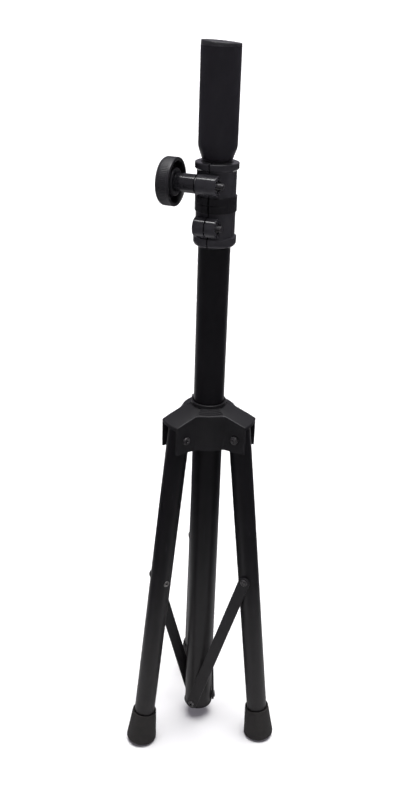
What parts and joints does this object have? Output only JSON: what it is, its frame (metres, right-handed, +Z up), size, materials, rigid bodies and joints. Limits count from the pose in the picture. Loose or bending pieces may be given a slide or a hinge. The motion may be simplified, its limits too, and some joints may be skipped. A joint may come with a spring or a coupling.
{
  "type": "folding speaker stand",
  "caption": "Folding tripod stand for a loudspeaker: tubular mast, telescoping pole with a wider head, clamp collar with a hand knob, and splayed legs with braces.",
  "frame": {"origin": "on the mast's axis, at the level of the floor under the feet", "axes": "+Z up along the mast towards the speaker pole's head, +Y towards the rear leg, +X to the right-hand side; the left and right legs stand 30 degrees in front of the X axis"},
  "size_m": [0.1664, 0.1485, 0.737],
  "materials": {
    "head_coat": "satin black powder coat on steel tube",
    "black_coat": "satin black powder coat on steel tube",
    "brace_coat": "satin black powder coat on flat steel bar",
    "pole_steel": "smooth black coat on the sliding pole",
    "cap_plastic": "moulded black plastic, worn at the edge",
    "collar_plastic": "charcoal glass-filled plastic, fine moulded grain",
    "hub_plastic": "charcoal glass-filled plastic, fine moulded grain",
    "bush_plastic": "smooth black bearing plastic",
    "plug_plastic": "black moulded plastic plug",
    "knob_plastic": "black plastic, finely textured rim",
    "nylon": "dark grey nylon",
    "foot_rubber": "dull dark rubber",
    "rivet_steel": "blackened steel rivets with worn rims",
    "bolt_steel": "blackened steel fasteners",
    "insert_brass": "plain turned brass"
  },
  "bodies": {
    "mast": {"mast_tube": "black_coat", "mast_end_plug": "plug_plastic", "brace_lower_rivets": "rivet_steel", "height_collar": "collar_plastic", "pole_bush": "nylon", "collar_nuts": "bolt_steel", "lower_clamp_bolt": "bolt_steel", "knob_washer": "bolt_steel"},
    "pole": {"inner_pole": "pole_steel", "pole_head": "head_coat", "head_cap": "cap_plastic", "head_spacer": "nylon", "pole_glide": "nylon"},
    "knob": {"clamp_knob": "knob_plastic", "knob_sleeve": "knob_plastic", "knob_bolt": "bolt_steel"},
    "hub": {"leg_hub": "hub_plastic", "hub_bush": "bush_plastic", "lock_insert": "insert_brass", "pivot_bolts": "bolt_steel", "pivot_nuts": "bolt_steel"},
    "lock": {"lock_screw": "knob_plastic"},
    "left_leg": {"leg_left": "black_coat", "leg_bush_left": "plug_plastic", "leg_rivet_left": "rivet_steel", "foot_left": "foot_rubber"},
    "right_leg": {"leg_right": "black_coat", "leg_bush_right": "plug_plastic", "leg_rivet_right": "rivet_steel", "foot_right": "foot_rubber"},
    "rear_leg": {"leg_rear": "black_coat", "leg_bush_rear": "plug_plastic", "leg_rivet_rear": "rivet_steel", "foot_rear": "foot_rubber"},
    "left_brace": {"brace_left": "brace_coat", "brace_rivet_left": "rivet_steel"},
    "right_brace": {"brace_right": "brace_coat", "brace_rivet_right": "rivet_steel"},
    "rear_brace": {"brace_rear": "brace_coat", "brace_rivet_rear": "rivet_steel"}
  },
  "joints": [
    {"name": "pole_slide", "type": "slide", "parent": "mast", "child": "pole", "axis": [0, 0, 1], "range_m": [0, 0.43]},
    {"name": "knob_turn", "type": "hinge", "parent": "mast", "child": "knob", "pos_m": [-0.00908, -0.01838, 0.6199], "axis": [0.8965, -0.4431, 0], "range_deg": [0, 540]},
    {"name": "hub_slide", "type": "slide", "parent": "mast", "child": "hub", "axis": [0, 0, -1], "range_m": [0, 0.1718]},
    {"name": "lock_turn", "type": "hinge", "parent": "hub", "child": "lock", "pos_m": [0.02598, 0.015, 0.3724], "axis": [-0.866, -0.5, 0], "range_deg": [0, 360]},
    {"name": "left_leg_fold", "type": "hinge", "parent": "hub", "child": "left_leg", "pos_m": [-0.03031, -0.0175, 0.3747], "axis": [-0.5, 0.866, 0], "range_deg": [0, 50]},
    {"name": "left_brace_swing", "type": "hinge", "parent": "mast", "child": "left_brace", "pos_m": [0, 0, 0.0242], "axis": [0.5, -0.866, 0], "range_deg": [0, 47.11]},
    {"name": "right_leg_fold", "type": "hinge", "parent": "hub", "child": "right_leg", "pos_m": [0.03031, -0.0175, 0.3747], "axis": [-0.5, -0.866, 0], "range_deg": [0, 50]},
    {"name": "right_brace_swing", "type": "hinge", "parent": "mast", "child": "right_brace", "pos_m": [0, 0, 0.0242], "axis": [0.5, 0.866, 0], "range_deg": [0, 47.11]},
    {"name": "rear_leg_fold", "type": "hinge", "parent": "hub", "child": "rear_leg", "pos_m": [0, 0.035, 0.3747], "axis": [1, 0, 0], "range_deg": [0, 50]},
    {"name": "rear_brace_swing", "type": "hinge", "parent": "mast", "child": "rear_brace", "pos_m": [0, 0, 0.0242], "axis": [-1, 0, 0], "range_deg": [0, 47.11]}
  ],
  "couplings": [
    {"joint": "left_leg_fold", "follows": "hub_slide", "rad_per_m": 5.0795},
    {"joint": "left_brace_swing", "follows": "hub_slide", "rad_per_m": 4.7836},
    {"joint": "right_leg_fold", "follows": "hub_slide", "rad_per_m": 5.0795},
    {"joint": "right_brace_swing", "follows": "hub_slide", "rad_per_m": 4.7836},
    {"joint": "rear_leg_fold", "follows": "hub_slide", "rad_per_m": 5.0795},
    {"joint": "rear_brace_swing", "follows": "hub_slide", "rad_per_m": 4.7836}
  ]
}
